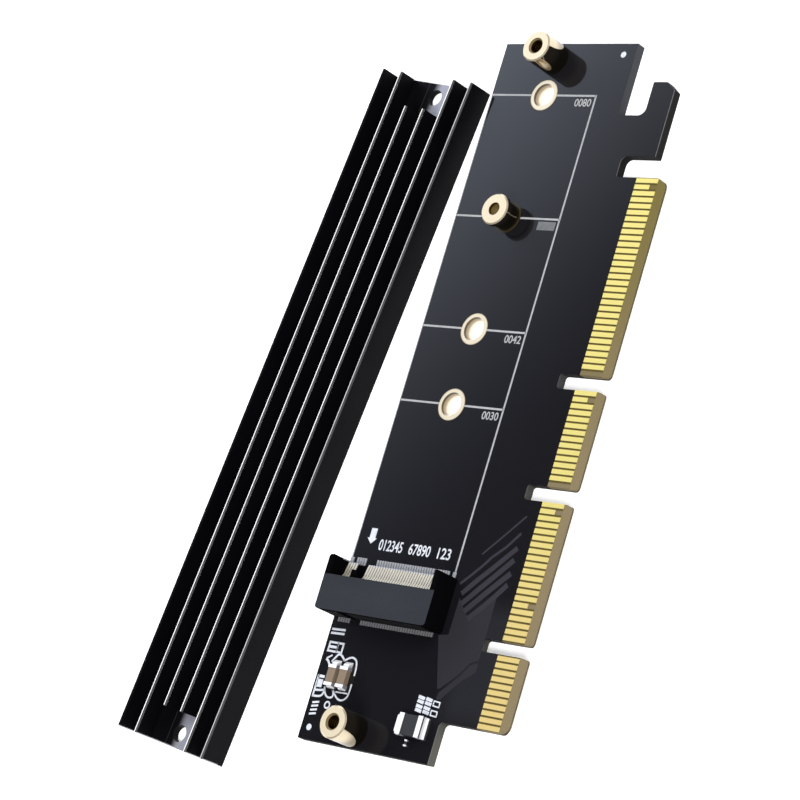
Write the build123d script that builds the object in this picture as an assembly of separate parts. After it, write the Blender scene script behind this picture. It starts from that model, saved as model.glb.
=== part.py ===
from build123d import *

import os

# An adapter card for a solid-state drive module, with its finned heatsink lying beside it.
# The card lies on its back, fingers towards -Y. Millimetres, +Z up, and the origin is at the
# middle of the key notch, on the finger edge and at the height of the surface it lies on.

# Board outline
board_length = 111.6
board_depth = 37.8
board_thickness = 1.6
near_overhang = 6.31        # from the tab's near side to the board's near end
shoulder = 12.0             # finger edge to the board's long lower edge
tab_margin = 0.45           # from the outermost contact's middle to the tab's side
cutter_corner = 0.3         # what the outline's cutter leaves in an inner corner
shoulder_corner = 0.8
finger_corner = 1.4
bevel_length = 0.9
bevel_depth = 0.4

# Notches in the tab
key_width = 1.9
notch_width = 2.3           # of each further notch
notch_depth = 8.6
notch_pins = (33, 50)       # each further notch stands half a pitch past this pin's place
key_mouth_corner = 0.6
key_root_corner = 0.5

# Hook that the slot's latch holds
hook_gap = 3.35
hook_gap_depth = 9.0
hook_neck = 6.45
hook_toe = 5.4
hook_edge = 2.82            # finger edge to the hook's outer edge
toe_top = 7.05
toe_cut_length = 1.25       # the toe's slanted corner, along the card and across it
toe_cut_width = 1.65
latch_corner = 1.3          # at the root of the latch's gap, on the toe's side
gap_hook_corner = 1.1
gap_tab_corner = 0.4

# Edge contacts
foil = 0.05                 # copper and plating that stand on either face
contact_pitch = 1.0
contact_width = 0.7
contact_length = 4.05
contact_start = 0.95        # finger edge to the contacts' outer ends
short_pullback = 1.3
pin_after_key = 12          # the first pin past the key notch
pin_groups = {1: (1, 11), 2: (12, 32), 3: (36, 49), 4: (53, 82)}
short_front_pins = (17, 31, 48, 81)
short_back_pins = (1,)

# Module side: plated holes in line with the socket
module_line = 27.3          # finger edge to the module's centreline
module_datum = 4.79         # where an inserted module's own edge stops
parked_length = 60          # the hole that holds the standoff
module_lengths = (30, 42, parked_length, 80)
ring_bore = 3.5
ring_pad = 5.0
plating_wall = 0.18
plating_gap = 0.02          # between the plating and the drilled board

# Module standoff and its screw
seat_height = 2.45          # module's underside above the board
standoff_body = 4.3
standoff_stub_gap = 0.05
screw_thread = 2.0
screw_length = 3.0
screw_head = 5.0
screw_head_height = 1.0
screw_recess = 2.05
screw_recess_depth = 0.6
screw_edge = 0.2
thread_gap = 0.04           # radial, between a screw's shank and its tapped hole

# Heatsink posts
post_inset = 2.6            # board's end to the post's middle
post_diameter = 5.0
post_height = 5.0
post_pilot = 3.6
pilot_gap = 0.03
post_tap = 2.05
post_mouth = 2.6
post_edge = 0.2

# Module socket, along the card from its slot's root
root_gap = 0.19             # from the seated module's edge back to the slot's root
rear_wall = 4.1
bar_overhang = 1.25
jaw_length = 3.8
arm_reach = 0.5             # how far the end arms stand past the jaw
key_rib_reach = 2.6

# Module socket, upwards from the board
module_thickness = 0.8
slot_play = 0.07            # over the seated module
jaw_gap = 0.25              # under the seated module
jaw_fall = 0.75             # from the jaw's root down to its lip
jaw_flat = 0.6
bar_thickness = 0.88

# Module socket, across the card
pin_pitch = 0.5
upper_contact_count = 38    # places in the upper row; the lower row stands between them
count_before_key = 29
count_in_key = 4
slot_side_room = 0.58       # from the outermost contact to the slot's side
arm_wall = 0.95
socket_corner = 0.5
key_rib_width = 1.1

# Socket contacts, hold-downs and pegs
pin_width = 0.34
pin_stock = 0.15
pin_gap = 0.03              # clearance to the housing
lower_tail = 1.3
upper_tail = 0.7
groove_depth = 0.08
crest_lift = 0.15           # how far a lower contact's crest would press into the module
crest_setback = 0.35        # behind the bar's front
crest_run = 1.2             # length over which a lower contact climbs to its crest
hold_down_width = 0.6
hold_down_height = 2.2
hold_down_foot = 0.85
hold_down_inset = 0.15      # from the slot's side out to the hold-down's middle
peg_diameters = (1.6, 1.1)
peg_spread = 18.0
peg_length = 1.2
peg_setback = 2.4           # from the socket's rear to the pegs
peg_gap = 0.05

# Chip parts: length, width, height, end cap
capacitor_size = (3.2, 1.6, 1.0, 0.5)
capacitor_middle = (-8.4, 33.05)
capacitor_spacing = 2.3
fuse_size = (4.5, 3.2, 1.0, 0.9)
fuse_middle = (-13.4, 16.55)
resistor_size = (1.0, 0.5, 0.35, 0.25)
resistor_middle = (-15.95, 16.85)
cap_wall = 0.05
cap_gap = 0.01
solder_film = 0.03          # solder that lifts a chip part off the board

# Heatsink
sink_hole_inset = 2.3       # from the end to the hole's middle
sink_height = 4.6
sink_base = 1.2
fin_count = 6
fin_pitch = 3.855
fin_thickness = 0.6
fin_edge = 0.12
pocket_length = 5.45        # where the middle fins stop short of the ends
sink_hole = 2.7
sink_turn = -6.65           # degrees, as it lies beside the card
sink_corner = (-24.77, 52.56)

over = 1.0                  # how far a cutter runs past what it cuts

UPRIGHT = (Align.CENTER, Align.CENTER, Align.MIN)


def pin_place(pin):
    """Where a pin's contact stands along X: the key notch takes the room of two pins."""
    if pin < pin_after_key:
        return (pin - pin_after_key - 0.5) * contact_pitch
    return (pin - pin_after_key + 1.5) * contact_pitch


# Places on the card, worked out from the sizes above
board_bottom = foil
board_top = foil + board_thickness
tab_near = pin_place(pin_groups[1][0]) - tab_margin
tab_far = pin_place(pin_groups[4][1]) + tab_margin
board_near = tab_near - near_overhang
board_far = board_near + board_length
hook_near = tab_far + hook_gap
hook_root = hook_near + hook_neck
hook_tip = hook_root + hook_toe
post_spacing = board_length - 2 * post_inset
ring_wall_radius = ring_bore / 2 + plating_wall
drilled_radius = ring_wall_radius + plating_gap

# Places on the socket, worked out from the sizes above
slot_root = module_datum - root_gap
socket_rear = slot_root - rear_wall
bar_front = slot_root + bar_overhang
jaw_front = slot_root + jaw_length
arm_front = jaw_front + arm_reach
jaw_rise = seat_height - jaw_gap
jaw_lip = jaw_rise - jaw_fall
slot_top = seat_height + module_thickness + slot_play
socket_height = slot_top + bar_thickness
row_length = (upper_contact_count - 1) * pin_pitch
slot_width = row_length + pin_width + 2 * slot_side_room
key_rib_offset = (count_before_key + (count_in_key - 1) / 2 + 0.25) * pin_pitch - row_length / 2
hold_down_side = slot_width / 2 + hold_down_inset

# Places on the heatsink, worked out from the sizes above
sink_width = (fin_count - 1) * fin_pitch + fin_thickness
sink_length = post_spacing + 2 * sink_hole_inset


def upright_cylinder(diameter, bottom, top, x=0.0, y=0.0):
    """A cylinder between two heights."""
    return Pos(x, y, bottom) * Cylinder(diameter / 2, top - bottom, align=UPRIGHT)


def block(x_range, y_range, z_range):
    """A box between two limits along each axis."""
    sides = [high - low for low, high in (x_range, y_range, z_range)]
    corner = Pos(x_range[0], y_range[0], z_range[0])
    return corner * Box(*sides, align=(Align.MIN, Align.MIN, Align.MIN))


def section_along_y(face_xz, y_middle, width):
    """Extrudes a section drawn in X and Z along Y, centred on y_middle."""
    return Pos(0, y_middle, 0) * extrude(Plane.XZ * face_xz, width / 2, both=True)


def board_outline():
    """The board's outline, one corner after another, each with the radius of its cutter."""
    notches = [(0.0, key_width)]
    notches += [(pin_place(pin) + contact_pitch / 2, notch_width) for pin in notch_pins]
    corners = [
        (board_near, board_depth, 0),
        (board_near, shoulder, 0),
        (tab_near, shoulder, shoulder_corner),
        (tab_near, 0, finger_corner),
    ]
    for middle, width in notches:
        near, far = middle - width / 2, middle + width / 2
        corners += [
            (near, 0, key_mouth_corner),
            (near, notch_depth, key_root_corner),
            (far, notch_depth, key_root_corner),
            (far, 0, key_mouth_corner),
        ]
    corners += [
        (tab_far, 0, finger_corner),
        (tab_far, hook_gap_depth, gap_tab_corner),
        (hook_near, hook_gap_depth, gap_hook_corner),
        (hook_near, hook_edge, 0),
        (hook_tip - toe_cut_length, hook_edge, 0),
        (hook_tip, hook_edge + toe_cut_width, 0),
        (hook_tip, toe_top, 0),
        (hook_root, toe_top, latch_corner),
        (hook_root, shoulder, cutter_corner),
        (board_far, shoulder, 0),
        (board_far, board_depth, 0),
    ]
    points = [(x, y) for x, y, radius in corners]
    radii = [radius for x, y, radius in corners]
    return make_face(FilletPolyline(*points, radius=radii, close=True))


def finger_bevels():
    """The two long wedges that are milled off the tab's edge so that it enters its slot."""
    slope = bevel_depth / bevel_length
    wedge = make_face(Polyline(
        (-over, -bevel_depth - slope * over),
        (bevel_length, 0),
        (bevel_length, over),
        (-over, over),
        close=True,
    ))
    middle, half = (tab_far + tab_near) / 2, (tab_far - tab_near) / 2
    upper = Pos(middle, 0, board_top) * extrude(Plane.YZ * wedge, half + over, both=True)
    lower = upper.mirror(Plane.XY.offset((board_top + board_bottom) / 2))
    return [upper, lower]


def post_places():
    """The two heatsink posts' places along X."""
    return {"near": board_near + post_inset, "far": board_far - post_inset}


def peg_places():
    """Each socket peg as diameter and place, the thick one on the plain side."""
    x = socket_rear + peg_setback
    return [
        (peg_diameters[0], x, module_line + peg_spread / 2),
        (peg_diameters[1], x, module_line - peg_spread / 2),
    ]


def make_circuit_board():
    """The bare board: outline, bevelled finger edge and drilled holes."""
    board = Pos(0, 0, board_bottom) * extrude(board_outline(), board_thickness)
    low, high = board_bottom - over, board_top + over
    cutters = finger_bevels()
    for length in module_lengths:
        x = module_datum + length
        cutters.append(upright_cylinder(2 * drilled_radius, low, high, x, module_line))
    for x in post_places().values():
        cutters.append(upright_cylinder(post_pilot + 2 * pilot_gap, low, high, x, module_line))
    for diameter, x, y in peg_places():
        cutters.append(upright_cylinder(diameter + 2 * peg_gap, low, high, x, y))
    return board - cutters


def make_edge_contacts(first, last, short_pins, bottom):
    """One run of gold contacts on one face, some of them pulled back so that they mate late."""
    contacts = []
    for pin in range(first, last + 1):
        start = contact_start + (short_pullback if pin in short_pins else 0)
        x = pin_place(pin)
        contacts.append(block(
            (x - contact_width / 2, x + contact_width / 2),
            (start, contact_start + contact_length),
            (bottom, bottom + foil),
        ))
    return Compound(children=contacts)


def make_module_ring(x):
    """A plated hole: a thin barrel through the board with a pad on either face."""
    barrel = upright_cylinder(2 * ring_wall_radius, 0, board_top + foil)
    pads = [
        upright_cylinder(ring_pad, 0, foil),
        upright_cylinder(ring_pad, board_top, board_top + foil),
    ]
    bore = upright_cylinder(ring_bore, -over, board_top + over)
    return Pos(x, module_line, 0) * (barrel + pads - bore)


def make_standoff():
    """The spacer that the module's end lies on, with its stub in the plated hole."""
    seat = board_top + foil
    body = upright_cylinder(standoff_body, seat, board_top + seat_height)
    stub = upright_cylinder(ring_bore - 2 * standoff_stub_gap, board_bottom, seat)
    tapped = upright_cylinder(screw_thread + 2 * thread_gap, 0, board_top + seat_height + over)
    return Pos(module_datum + parked_length, module_line, 0) * (body + stub - tapped)


def make_module_screw():
    """The screw that waits in the standoff: a wide flat head with a round recess."""
    seat = board_top + seat_height
    top = seat + screw_head_height
    head = upright_cylinder(screw_head, seat, top)
    head = chamfer(head.edges().group_by(Axis.Z)[-1], screw_edge)
    shank = upright_cylinder(screw_thread, seat - screw_length, seat)
    recess = upright_cylinder(screw_recess, top - screw_recess_depth, top + over)
    return Pos(module_datum + parked_length, module_line, 0) * (head + shank - recess)


def make_heatsink_post(x):
    """A turned brass post pressed into the board, tapped right through."""
    top = board_top + post_height
    mouth_depth = (post_mouth - post_tap) / 2
    body = upright_cylinder(post_diameter, board_top, top)
    body = chamfer(body.edges().group_by(Axis.Z)[-1], post_edge)
    pilot = upright_cylinder(post_pilot, board_bottom, board_top)
    tapped = upright_cylinder(post_tap, -over, top + over)
    mouth = Pos(0, 0, top - mouth_depth) * Cone(post_tap / 2, post_mouth / 2, mouth_depth, align=UPRIGHT)
    return Pos(x, module_line, 0) * (body + pilot - tapped - mouth)


def pin_offsets(count):
    """Offsets of a row of so many contact places from the centreline, without the key's."""
    first = -(count - 1) / 2 * pin_pitch
    key = range(count_before_key, count_before_key + count_in_key)
    return [first + place * pin_pitch for place in range(count) if place not in key]


def jaw_height(x):
    """Height of the lower jaw's sloping top above the board at a place along X."""
    slope_start = slot_root + jaw_flat
    fall = (jaw_rise - jaw_lip) / (jaw_front - slope_start)
    return jaw_rise - fall * (x - slope_start)


def lower_contact_line():
    """Middle line of a lower contact: tail, riser in front of the jaw, and sprung arm."""
    half = pin_stock / 2
    crest = bar_front - crest_setback
    riser = jaw_front + pin_gap + half
    rest = half + pin_gap
    return [
        (riser + lower_tail, half),
        (riser, half),
        (riser, jaw_height(jaw_front) + rest),
        (crest + crest_run, jaw_height(crest + crest_run) + rest),
        (crest, seat_height + crest_lift),
    ]


def upper_contact_line():
    """Middle line of an upper contact: tail, riser up the rear face, arm over the slot."""
    half = pin_stock / 2
    arm = slot_top + half + pin_gap
    riser = socket_rear - half + groove_depth
    crest = bar_front - crest_setback
    return [
        (riser - upper_tail, half),
        (riser, half),
        (riser, arm),
        (slot_root + pin_stock, arm),
        (crest, slot_top - groove_depth),
    ]


def bent_strip(line, y_middle):
    """A strip of contact stock that follows a line of points in X and Z."""
    section = trace(Polyline(*line), pin_stock)
    return section_along_y(section, y_middle, pin_width)


def make_socket_contacts(line, offsets):
    """One row of bent contacts standing on the board."""
    lifted = [(x, z + board_top) for x, z in line]
    strips = [bent_strip(lifted, module_line + offset) for offset in offsets]
    return Compound(children=[solid for strip in strips for solid in strip.solids()])


def socket_section():
    """The moulding's section: rear wall, top bar and sloping lower jaw round the slot."""
    return make_face(Polyline(
        (socket_rear, 0),
        (jaw_front, 0),
        (jaw_front, jaw_lip),
        (slot_root + jaw_flat, jaw_rise),
        (slot_root, jaw_rise),
        (slot_root, slot_top),
        (bar_front, slot_top),
        (bar_front, socket_height),
        (socket_rear, socket_height),
        close=True,
    ))


def socket_grooves():
    """Room for the upper contacts: a groove up the rear face and a tunnel over the slot each."""
    cut_width = pin_width + 2 * pin_gap
    arm = slot_top + pin_stock + 2 * pin_gap
    tunnel = make_face(Polyline(
        (socket_rear - over, 0),
        (socket_rear + groove_depth + pin_gap, 0),
        (socket_rear + groove_depth + pin_gap, slot_top - pin_gap),
        (slot_root, slot_top - pin_gap),
        (slot_root, slot_top - over / 2),
        (bar_front + over, slot_top - over / 2),
        (bar_front + over, arm),
        (socket_rear - over, arm),
        close=True,
    ))
    cutters = []
    for offset in pin_offsets(upper_contact_count):
        cutters.append(section_along_y(tunnel, offset, cut_width))
    return cutters


def make_socket_housing():
    """The moulded socket, with end arms, key rib and two pegs that enter the board."""
    body = section_along_y(socket_section(), 0, slot_width)
    for side in (-1, 1):
        span = sorted((side * slot_width / 2, side * (slot_width / 2 + arm_wall)))
        arm = block((socket_rear, arm_front), span, (0, socket_height))
        outside = arm.edges().filter_by(Axis.Z).sort_by(lambda edge: side * edge.center().Y)[-2:]
        arm = fillet(outside, socket_corner)
        pocket = block(
            (arm_front - pin_stock - pin_gap, arm_front + over),
            (side * hold_down_side - hold_down_width / 2 - pin_gap,
             side * hold_down_side + hold_down_width / 2 + pin_gap),
            (-over, hold_down_height + pin_gap),
        )
        body = body + arm - pocket
    rib = block(
        (slot_root, slot_root + key_rib_reach),
        (key_rib_offset - key_rib_width / 2, key_rib_offset + key_rib_width / 2),
        (jaw_lip, slot_top),
    )
    body = body + rib - socket_grooves()
    pegs = [
        upright_cylinder(diameter, -peg_length, 0, x, y - module_line)
        for diameter, x, y in peg_places()
    ]
    return Pos(0, module_line, board_top) * (body + pegs)


def make_hold_downs():
    """Two bent tabs that solder the socket's ends to the board."""
    tabs = []
    for side in (-1, 1):
        y = module_line + side * hold_down_side
        span = (y - hold_down_width / 2, y + hold_down_width / 2)
        riser = block((arm_front - pin_stock, arm_front), span, (board_top, board_top + hold_down_height))
        foot = block((arm_front, arm_front + hold_down_foot), span, (board_top, board_top + pin_stock))
        tabs.append(riser + foot)
    return Compound(children=tabs)


def make_chip_body(size):
    """The ceramic block of a chip part, lying along X, with its ends inside the caps."""
    length, width, height, cap = size
    return block(
        (-length / 2 + cap_wall + cap_gap, length / 2 - cap_wall - cap_gap),
        (-width / 2 + cap_wall + cap_gap, width / 2 - cap_wall - cap_gap),
        (cap_wall + cap_gap, height - cap_wall - cap_gap),
    )


def make_chip_caps(size):
    """The two metal end caps of a chip part: each wraps one end of the block."""
    length, width, height, cap = size
    inside = block(
        (-length / 2 + cap_wall, length / 2 - cap_wall),
        (-width / 2 + cap_wall, width / 2 - cap_wall),
        (cap_wall, height - cap_wall),
    )
    caps = []
    for near, far in ((-length / 2, -length / 2 + cap), (length / 2 - cap, length / 2)):
        caps.append(block((near, far), (-width / 2, width / 2), (0, height)) - inside)
    return Compound(children=caps)


def fin_section(position):
    """One fin's section in Y and Z, with its top edges broken."""
    near, far = position, position + fin_thickness
    return make_face(Polyline(
        (near, 0),
        (far, 0),
        (far, sink_height - fin_edge),
        (far - fin_edge, sink_height),
        (near + fin_edge, sink_height),
        (near, sink_height - fin_edge),
        close=True,
    ))


def make_heatsink():
    """The extrusion: a base with upright fins, the middle ones cut short over the screws."""
    base = block((0, sink_length), (0, sink_width), (0, sink_base))
    fins = []
    for number in range(fin_count):
        fins.append(extrude(Plane.YZ * fin_section(number * fin_pitch), sink_length))
    sink = base + fins
    first_cut = (fin_count // 2 - 1) * fin_pitch
    last_cut = (fin_count // 2) * fin_pitch + fin_thickness
    side = (fin_pitch - fin_thickness) / 2
    for near in (-over, sink_length - pocket_length):
        sink = sink - block(
            (near, near + pocket_length + over),
            (first_cut - side, last_cut + side),
            (sink_base, sink_height + over),
        )
    for x in (sink_hole_inset, sink_length - sink_hole_inset):
        sink = sink - upright_cylinder(sink_hole, -over, sink_base + over, x, sink_width / 2)
    return Pos(*sink_corner) * Rot(0, 0, sink_turn) * sink


def make_pieces():
    """Every piece of the object in its place, by name."""
    pieces = {"circuit_board": make_circuit_board()}
    for group, (first, last) in pin_groups.items():
        pieces[f"edge_contacts_front_{group}"] = make_edge_contacts(
            first, last, short_front_pins, board_top)
        pieces[f"edge_contacts_back_{group}"] = make_edge_contacts(
            first, last, short_back_pins, 0)
    for number, length in enumerate(module_lengths, start=1):
        pieces[f"module_ring_{number}"] = make_module_ring(module_datum + length)
    pieces["ssd_standoff"] = make_standoff()
    pieces["ssd_screw"] = make_module_screw()
    for end, x in post_places().items():
        pieces[f"heatsink_post_{end}"] = make_heatsink_post(x)
    pieces["socket_housing"] = make_socket_housing()
    pieces["socket_upper_contacts"] = make_socket_contacts(
        upper_contact_line(), pin_offsets(upper_contact_count))
    pieces["socket_lower_contacts"] = make_socket_contacts(
        lower_contact_line(), pin_offsets(upper_contact_count - 1))
    pieces["socket_hold_downs"] = make_hold_downs()
    add_chip_parts(pieces)
    pieces["heatsink"] = make_heatsink()
    return pieces


def add_chip_parts(pieces):
    """The two capacitors, the fuse and the small resistor on the board's near end."""
    x, y = capacitor_middle
    seat = board_top + solder_film
    places = [
        ("capacitor_1", capacitor_size, Pos(x, y + capacitor_spacing / 2, seat)),
        ("capacitor_2", capacitor_size, Pos(x, y - capacitor_spacing / 2, seat)),
        ("fuse", fuse_size, Pos(*fuse_middle, seat) * Rot(0, 0, 90)),
        ("resistor", resistor_size, Pos(*resistor_middle, seat)),
    ]
    for name, size, place in places:
        pieces[f"{name}_body"] = place * make_chip_body(size)
        pieces[f"{name}_caps"] = place * make_chip_caps(size)


os.makedirs("parts", exist_ok=True)
for name, piece in make_pieces().items():
    export_step(piece, f"parts/{name}.step")
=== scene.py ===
"""Looks of an adapter card for a solid-state drive module, with its heatsink beside it.

Every size is in millimetres until MM turns it into metres, and every place is in the card's own
frame: the key notch's middle on the finger edge, +X to the hook, +Y to the plain edge, +Z up.
"""

import logging
import math
from dataclasses import dataclass
from enum import Enum
from typing import Any, Optional, Sequence, Union

import bmesh
import bpy
from mathutils import Euler, Matrix, Vector


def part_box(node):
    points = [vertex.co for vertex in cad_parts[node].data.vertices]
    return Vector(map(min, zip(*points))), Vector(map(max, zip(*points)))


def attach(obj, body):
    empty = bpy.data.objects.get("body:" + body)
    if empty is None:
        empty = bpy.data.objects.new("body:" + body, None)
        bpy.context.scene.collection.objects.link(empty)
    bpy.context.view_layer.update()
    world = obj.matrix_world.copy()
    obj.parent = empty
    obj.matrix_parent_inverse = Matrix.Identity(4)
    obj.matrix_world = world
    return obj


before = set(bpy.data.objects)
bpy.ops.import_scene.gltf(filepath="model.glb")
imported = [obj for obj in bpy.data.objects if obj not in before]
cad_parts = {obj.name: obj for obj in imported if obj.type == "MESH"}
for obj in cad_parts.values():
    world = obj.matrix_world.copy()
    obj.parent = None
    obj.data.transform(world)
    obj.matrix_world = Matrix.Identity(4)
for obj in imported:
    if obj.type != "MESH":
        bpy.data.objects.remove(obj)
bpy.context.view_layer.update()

MM = 0.001
ROOT = "root"
LOG = logging.getLogger("adapter_card")
FACING = (0.5, 0.9)
ROUND_SIDES = 32

Colour = tuple[float, float, float, float]
Place = tuple[float, float]
Span = tuple[float, float]
Triple = tuple[float, float, float]
Material = bpy.types.Material
Socket = bpy.types.NodeSocket
Value = Union["Wire", float]


class Slot(Enum):
    """The record's material slots."""

    MASK = "board_mask"
    TIN = "tinned_metal"


class Wire:
    """A number that runs through a material's nodes; arithmetic on it adds Math nodes."""

    def __init__(self, recipe: "Recipe", socket: Socket) -> None:
        """Wraps an output socket of a recipe's nodes."""
        self.recipe = recipe
        self.socket = socket

    def _math(self, operation: str, first: Value, second: Value = 0.0) -> "Wire":
        """Adds one Math node and returns its result."""
        return self.recipe.wire("ShaderNodeMath", {"operation": operation}, {0: first, 1: second})

    def __add__(self, other: Value) -> "Wire":
        """Sum."""
        return self._math("ADD", self, other)

    __radd__ = __add__

    def __sub__(self, other: Value) -> "Wire":
        """Difference."""
        return self._math("SUBTRACT", self, other)

    def __rsub__(self, other: Value) -> "Wire":
        """Difference with the number on the left."""
        return self._math("SUBTRACT", other, self)

    def __mul__(self, other: Value) -> "Wire":
        """Product."""
        return self._math("MULTIPLY", self, other)

    __rmul__ = __mul__

    def __gt__(self, other: Value) -> "Wire":
        """1 where this number is the greater, 0 elsewhere."""
        return self._math("GREATER_THAN", self, other)

    def __lt__(self, other: Value) -> "Wire":
        """1 where this number is the smaller, 0 elsewhere."""
        return self._math("LESS_THAN", self, other)

    def size(self) -> "Wire":
        """Absolute value."""
        return self._math("ABSOLUTE", self)

    def past_mm(self, limit: float) -> "Wire":
        """1 past a limit in millimetres, 0 before it."""
        return self > limit * MM

    def before_mm(self, limit: float) -> "Wire":
        """1 before a limit in millimetres, 0 past it."""
        return self < limit * MM

    def within_mm(self, low: float, high: float) -> "Wire":
        """1 between two limits in millimetres, 0 outside them."""
        return self.past_mm(low) * self.before_mm(high)

    def rise(self, low: float, high: float) -> "Wire":
        """A smooth climb from 0 at the low limit to 1 at the high one."""
        inputs = {"Value": self, "From Min": low, "From Max": high}
        return self.recipe.wire("ShaderNodeMapRange", {"interpolation_type": "SMOOTHSTEP"}, inputs)

    def rise_mm(self, low: float, high: float) -> "Wire":
        """A smooth climb from 0 to 1 between two places in millimetres."""
        return self.rise(low * MM, high * MM)

    def root(self) -> "Wire":
        """Square root."""
        return self._math("SQRT", self)

    def wrapped(self, length: float) -> "Wire":
        """What is left of this number after whole lengths are taken off it."""
        return self._math("MODULO", self, length)


class Recipe:
    """The nodes of one material or of the room's light, and the methods that add them."""

    def __init__(self, owner: Union[Material, bpy.types.World]) -> None:
        """Empties the owner's node tree.

        Args:
            owner: the material or the world that the nodes belong to.
        """
        self.owner = owner
        owner.use_nodes = True
        self.tree = owner.node_tree
        self.tree.nodes.clear()
        self.place = self.node("ShaderNodeTexCoord")

    @classmethod
    def named(cls, name: str) -> "Recipe":
        """Starts the recipe of a new material."""
        return cls(bpy.data.materials.new(name))

    def node(self, kind: str, settings: Optional[dict[str, Any]] = None,
             inputs: Optional[dict[Union[int, str], Any]] = None) -> bpy.types.Node:
        """Adds a node, sets it and fills its sockets.

        Args:
            kind: the node's type name.
            settings: attributes of the node, set before its sockets; stops holds a ramp's stops.
            inputs: values, wires or sockets for the node's inputs, by name or number.

        Returns:
            The new node.
        """
        node = self.tree.nodes.new(kind)
        for name, value in (settings or {}).items():
            if name == "stops":
                for element, stop in zip(node.color_ramp.elements, value):
                    element.position, element.color = stop
            else:
                setattr(node, name, value)
        for key, value in (inputs or {}).items():
            if isinstance(value, Wire):
                value = value.socket
            if isinstance(value, Socket):
                self.tree.links.new(value, node.inputs[key])
            else:
                node.inputs[key].default_value = value
        return node

    def wire(self, kind: str, settings: Optional[dict[str, Any]],
             inputs: dict[Union[int, str], Any]) -> Wire:
        """Adds a node and takes the number that comes out of it."""
        return Wire(self, self.node(kind, settings, inputs).outputs[0])

    def axes(self, output: str = "Object") -> tuple[Wire, Wire, Wire]:
        """X, Y and Z of the object's place in metres, or of its surface's direction (Normal)."""
        return self.parts(self.place.outputs[output])

    def parts(self, vector: Socket) -> tuple[Wire, Wire, Wire]:
        """The three parts of a vector."""
        split = self.node("ShaderNodeSeparateXYZ", None, {0: vector})
        return tuple(Wire(self, socket) for socket in split.outputs)

    def offset(self, middle: Place) -> tuple[Wire, Wire]:
        """How far along X and Y the object's place is from a middle in millimetres."""
        x, y, _ = self.axes()
        return x - middle[0] * MM, y - middle[1] * MM

    def reach(self, middle: Place) -> Wire:
        """How far the object's place is from an upright axis through a middle in millimetres."""
        off_x, off_y = self.offset(middle)
        return (off_x * off_x + off_y * off_y).root()

    def noise(self, size_mm: float, detail: float, scale: Triple = (1.0, 1.0, 1.0),
              place: Optional[Socket] = None) -> Wire:
        """Noise about 0.5 with grains of a given size.

        Args:
            size_mm: the size of its largest grains.
            detail: how many finer layers it has.
            scale: stretch along each axis, below 1 for long grains.
            place: the place it follows, by default the object's own.

        Returns:
            The noise's value.
        """
        if place is None:
            place = self.place.outputs["Object"]
        stretched = self.node("ShaderNodeMapping", None, {"Vector": place, "Scale": scale})
        inputs = {"Vector": stretched.outputs[0], "Scale": 1 / (size_mm * MM), "Detail": detail}
        return self.wire("ShaderNodeTexNoise", None, inputs)

    def ramp(self, value: Wire, stops: Sequence[tuple[float, Colour]]) -> Socket:
        """A colour that follows a number from 0 to 1, with the stops' positions and colours."""
        return self.node("ShaderNodeValToRGB", {"stops": stops}, {0: value}).outputs[0]

    def blend(self, mask: Wire, low: Any, high: Any) -> Socket:
        """A colour between two colours or their sockets: low where the mask is 0, high at 1."""
        inputs = {"Factor": mask, 6: low, 7: high}
        return self.node("ShaderNodeMix", {"data_type": "RGBA"}, inputs).outputs[2]

    def bump(self, height: Wire, depth_mm: float) -> Socket:
        """The normal of a fine relief, given by its height from 0 to 1 and its depth."""
        inputs = {"Height": height, "Distance": depth_mm * MM, "Strength": 1.0}
        return self.node("ShaderNodeBump", None, inputs).outputs[0]

    def finish(self, colour: Any, roughness: Value, **inputs: Any) -> Material:
        """Closes the recipe with its surface shader.

        Args:
            colour: base colour or its socket.
            roughness: a number or a wire.
            inputs: further sockets of the shader, with underscores for spaces.

        Returns:
            The finished material.
        """
        values = {key.replace("_", " "): value for key, value in inputs.items()}
        values = {"Base Color": colour, "Roughness": roughness, **values}
        surface = self.node("ShaderNodeBsdfPrincipled", None, values)
        self.node("ShaderNodeOutputMaterial", None, {"Surface": surface.outputs[0]})
        return self.owner

    def glow(self, colour: Any, level: Wire) -> None:
        """Closes the recipe of the room's light, with its colour and how bright it is."""
        sky = self.node("ShaderNodeBackground", None, {"Color": colour, "Strength": level})
        self.node("ShaderNodeOutputWorld", None, {"Surface": sky.outputs[0]})


def grey(level: float, warmth: float = 0.0) -> Colour:
    """A grey, warmer above 0 warmth and cooler below it."""
    return (level * (1 + warmth), level, level * (1 - warmth), 1.0)


def dress(material: Material, *nodes: str) -> None:
    """Gives CAD nodes a material in their own slots.

    Args:
        material: the finish.
        nodes: the nodes' names.
    """
    for name in nodes:
        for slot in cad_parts[name].material_slots:
            slot.material = material
    LOG.info("dressed %s", ", ".join(nodes))


def add_to_scene(name: str, data: bpy.types.ID) -> bpy.types.Object:
    """Makes an object from its data and puts it in the scene.

    Args:
        name: the object's name.
        data: its mesh, curve, camera or light.

    Returns:
        The new object.
    """
    thing = bpy.data.objects.new(name, data)
    bpy.context.scene.collection.objects.link(thing)
    return thing


def settle(work: bmesh.types.BMesh, name: str, material: Material) -> None:
    """Makes closed shells in millimetres a piece of the object that rides on its body.

    Args:
        work: the shells, with their place in them.
        name: the piece's name.
        material: its finish.
    """
    bmesh.ops.recalc_face_normals(work, faces=work.faces)
    bmesh.ops.scale(work, vec=(MM, MM, MM), verts=work.verts)
    mesh = bpy.data.meshes.new(name)
    work.to_mesh(mesh)
    work.free()
    mesh.materials.append(material)
    piece = add_to_scene(name, mesh)
    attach(piece, ROOT)
    LOG.info("made %s with %d faces", name, len(mesh.polygons))


def centre_of(node: str) -> Vector:
    """The middle of a CAD node's box, in metres."""
    low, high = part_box(node)
    return (low + high) / 2


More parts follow.
